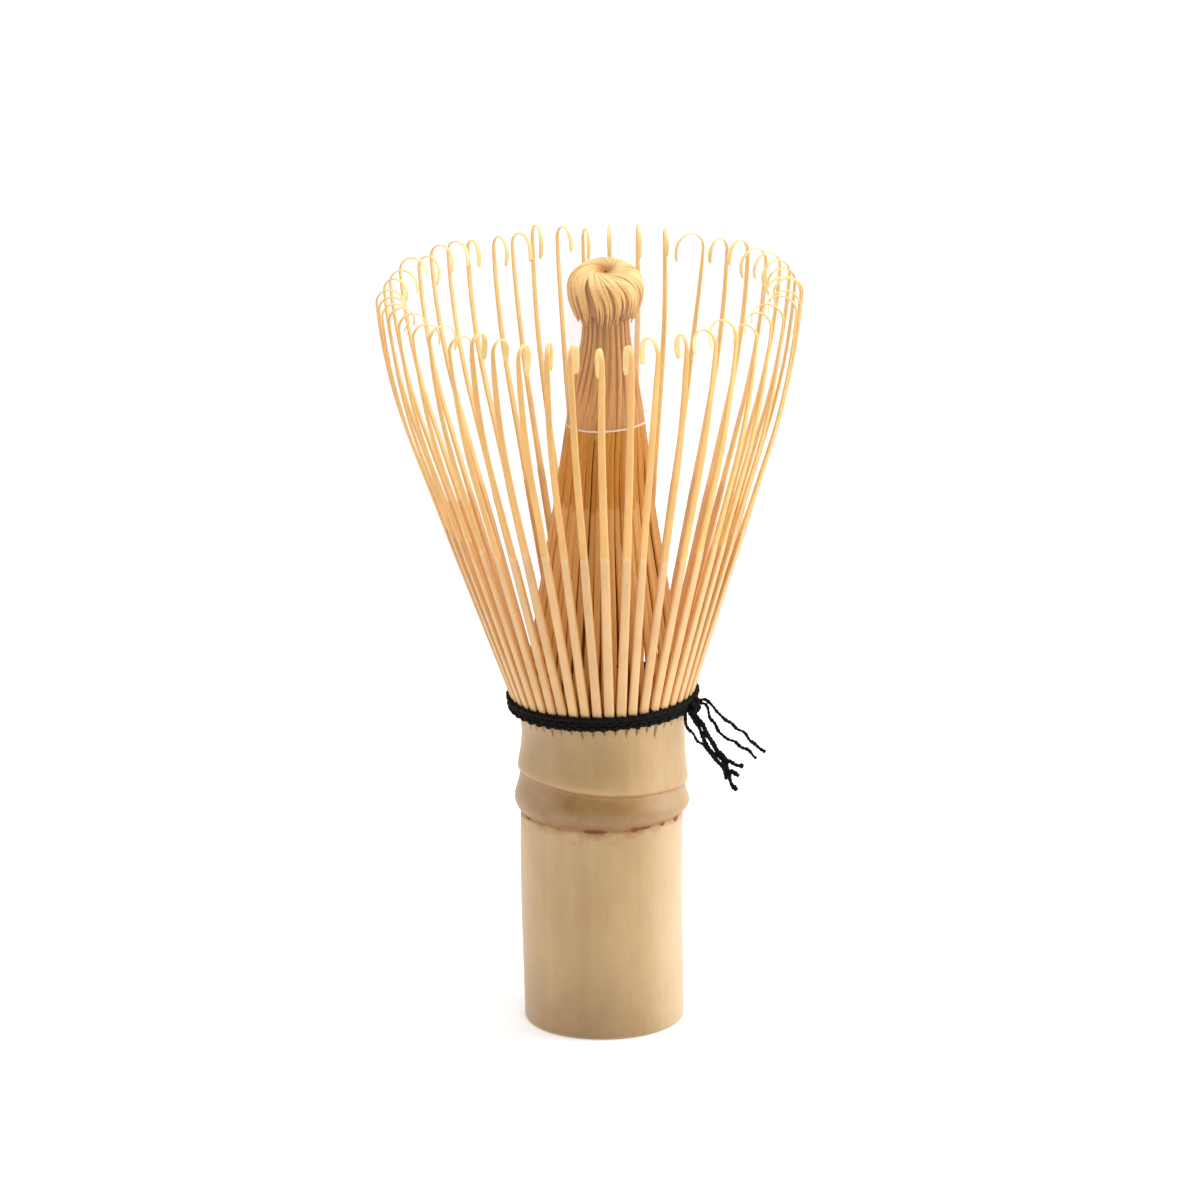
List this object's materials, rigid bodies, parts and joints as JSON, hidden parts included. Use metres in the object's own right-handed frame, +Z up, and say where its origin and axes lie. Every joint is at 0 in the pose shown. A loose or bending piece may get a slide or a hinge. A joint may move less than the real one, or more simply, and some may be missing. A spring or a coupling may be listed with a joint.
{
  "type": "bamboo tea whisk",
  "caption": "Bamboo tea whisk: hollow culm handle with a node, a flared crown of flexing hooked tines, a gathered inner bundle in a clear sliding sleeve, and a black thread binding.",
  "frame": {"origin": "centre of the handle's bottom end face, at the mouth of its hollow", "axes": "+Z up along the handle towards the tips; +X towards the side with the thread ends; -Y towards the viewer"},
  "size_m": [0.0585, 0.059, 0.1077],
  "materials": {
    "bamboo_culm": "dry, scraped bamboo skin with a fine vertical grain",
    "bamboo_tine": "shaved bamboo, paler below the shaving step and golden above it",
    "bamboo_inner": "fine shaved bamboo strands, slightly translucent",
    "thread": "matt twisted cotton thread",
    "clear_film": "clear glossy film"
  },
  "bodies": {
    "whisk_body": {"handle": "bamboo_culm", "inner_tines": "bamboo_inner", "tip_knot": "bamboo_inner", "thread_weave": "thread", "thread_loop_1": "thread", "thread_loop_2": "thread", "thread_loop_3": "thread", "thread_knot": "thread", "thread_tails": "thread"},
    "split_01": {"outer_tine_01": "bamboo_tine", "outer_tine_02": "bamboo_tine", "outer_tine_03": "bamboo_tine"},
    "split_02": {"outer_tine_04": "bamboo_tine", "outer_tine_05": "bamboo_tine", "outer_tine_06": "bamboo_tine"},
    "split_03": {"outer_tine_07": "bamboo_tine", "outer_tine_08": "bamboo_tine", "outer_tine_09": "bamboo_tine"},
    "split_04": {"outer_tine_10": "bamboo_tine", "outer_tine_11": "bamboo_tine", "outer_tine_12": "bamboo_tine"},
    "split_05": {"outer_tine_13": "bamboo_tine", "outer_tine_14": "bamboo_tine", "outer_tine_15": "bamboo_tine"},
    "split_06": {"outer_tine_16": "bamboo_tine", "outer_tine_17": "bamboo_tine", "outer_tine_18": "bamboo_tine"},
    "split_07": {"outer_tine_19": "bamboo_tine", "outer_tine_20": "bamboo_tine", "outer_tine_21": "bamboo_tine"},
    "split_08": {"outer_tine_22": "bamboo_tine", "outer_tine_23": "bamboo_tine", "outer_tine_24": "bamboo_tine"},
    "split_09": {"outer_tine_25": "bamboo_tine", "outer_tine_26": "bamboo_tine", "outer_tine_27": "bamboo_tine"},
    "split_10": {"outer_tine_28": "bamboo_tine", "outer_tine_29": "bamboo_tine", "outer_tine_30": "bamboo_tine"},
    "split_11": {"outer_tine_31": "bamboo_tine", "outer_tine_32": "bamboo_tine", "outer_tine_33": "bamboo_tine"},
    "split_12": {"outer_tine_34": "bamboo_tine", "outer_tine_35": "bamboo_tine", "outer_tine_36": "bamboo_tine"},
    "split_13": {"outer_tine_37": "bamboo_tine", "outer_tine_38": "bamboo_tine", "outer_tine_39": "bamboo_tine"},
    "split_14": {"outer_tine_40": "bamboo_tine", "outer_tine_41": "bamboo_tine", "outer_tine_42": "bamboo_tine"},
    "split_15": {"outer_tine_43": "bamboo_tine", "outer_tine_44": "bamboo_tine", "outer_tine_45": "bamboo_tine"},
    "split_16": {"outer_tine_46": "bamboo_tine", "outer_tine_47": "bamboo_tine", "outer_tine_48": "bamboo_tine"},
    "sleeve": {"sleeve": "clear_film"}
  },
  "joints": [
    {"name": "flex_01", "type": "hinge", "parent": "whisk_body", "child": "split_01", "pos_m": [0.01182, 0.00258, 0.0464], "axis": [0.213, -0.977, 0], "range_deg": [-4, 5], "stiffness_Nm_per_rad": 0.02},
    {"name": "flex_02", "type": "hinge", "parent": "whisk_body", "child": "split_02", "pos_m": [0.00994, 0.00691, 0.0464], "axis": [0.5707, -0.8211, 0], "range_deg": [-4, 5], "stiffness_Nm_per_rad": 0.02},
    {"name": "flex_03", "type": "hinge", "parent": "whisk_body", "child": "split_03", "pos_m": [0.00654, 0.01018, 0.0464], "axis": [0.8415, -0.5402, 0], "range_deg": [-4, 5], "stiffness_Nm_per_rad": 0.02},
    {"name": "flex_04", "type": "hinge", "parent": "whisk_body", "child": "split_04", "pos_m": [0.00214, 0.01191, 0.0464], "axis": [0.9842, -0.1771, 0], "range_deg": [-4, 5], "stiffness_Nm_per_rad": 0.02},
    {"name": "flex_05", "type": "hinge", "parent": "whisk_body", "child": "split_05", "pos_m": [-0.00258, 0.01182, 0.0464], "axis": [0.977, 0.213, 0], "range_deg": [-4, 5], "stiffness_Nm_per_rad": 0.02},
    {"name": "flex_06", "type": "hinge", "parent": "whisk_body", "child": "split_06", "pos_m": [-0.00691, 0.00994, 0.0464], "axis": [0.8211, 0.5707, 0], "range_deg": [-4, 5], "stiffness_Nm_per_rad": 0.02},
    {"name": "flex_07", "type": "hinge", "parent": "whisk_body", "child": "split_07", "pos_m": [-0.01018, 0.00654, 0.0464], "axis": [0.5402, 0.8415, 0], "range_deg": [-4, 5], "stiffness_Nm_per_rad": 0.02},
    {"name": "flex_08", "type": "hinge", "parent": "whisk_body", "child": "split_08", "pos_m": [-0.01191, 0.00214, 0.0464], "axis": [0.1771, 0.9842, 0], "range_deg": [-4, 5], "stiffness_Nm_per_rad": 0.02},
    {"name": "flex_09", "type": "hinge", "parent": "whisk_body", "child": "split_09", "pos_m": [-0.01182, -0.00258, 0.0464], "axis": [-0.213, 0.977, 0], "range_deg": [-4, 5], "stiffness_Nm_per_rad": 0.02},
    {"name": "flex_10", "type": "hinge", "parent": "whisk_body", "child": "split_10", "pos_m": [-0.00994, -0.00691, 0.0464], "axis": [-0.5707, 0.8211, 0], "range_deg": [-4, 5], "stiffness_Nm_per_rad": 0.02},
    {"name": "flex_11", "type": "hinge", "parent": "whisk_body", "child": "split_11", "pos_m": [-0.00654, -0.01018, 0.0464], "axis": [-0.8415, 0.5402, 0], "range_deg": [-4, 5], "stiffness_Nm_per_rad": 0.02},
    {"name": "flex_12", "type": "hinge", "parent": "whisk_body", "child": "split_12", "pos_m": [-0.00214, -0.01191, 0.0464], "axis": [-0.9842, 0.1771, 0], "range_deg": [-4, 5], "stiffness_Nm_per_rad": 0.02},
    {"name": "flex_13", "type": "hinge", "parent": "whisk_body", "child": "split_13", "pos_m": [0.00258, -0.01182, 0.0464], "axis": [-0.977, -0.213, 0], "range_deg": [-4, 5], "stiffness_Nm_per_rad": 0.02},
    {"name": "flex_14", "type": "hinge", "parent": "whisk_body", "child": "split_14", "pos_m": [0.00691, -0.00994, 0.0464], "axis": [-0.8211, -0.5707, 0], "range_deg": [-4, 5], "stiffness_Nm_per_rad": 0.02},
    {"name": "flex_15", "type": "hinge", "parent": "whisk_body", "child": "split_15", "pos_m": [0.01018, -0.00654, 0.0464], "axis": [-0.5402, -0.8415, 0], "range_deg": [-4, 5], "stiffness_Nm_per_rad": 0.02},
    {"name": "flex_16", "type": "hinge", "parent": "whisk_body", "child": "split_16", "pos_m": [0.01191, -0.00214, 0.0464], "axis": [-0.1771, -0.9842, 0], "range_deg": [-4, 5], "stiffness_Nm_per_rad": 0.02},
    {"name": "sleeve_slide", "type": "slide", "parent": "whisk_body", "child": "sleeve", "axis": [0, 0, 1], "range_m": [0, 0.03]}
  ]
}
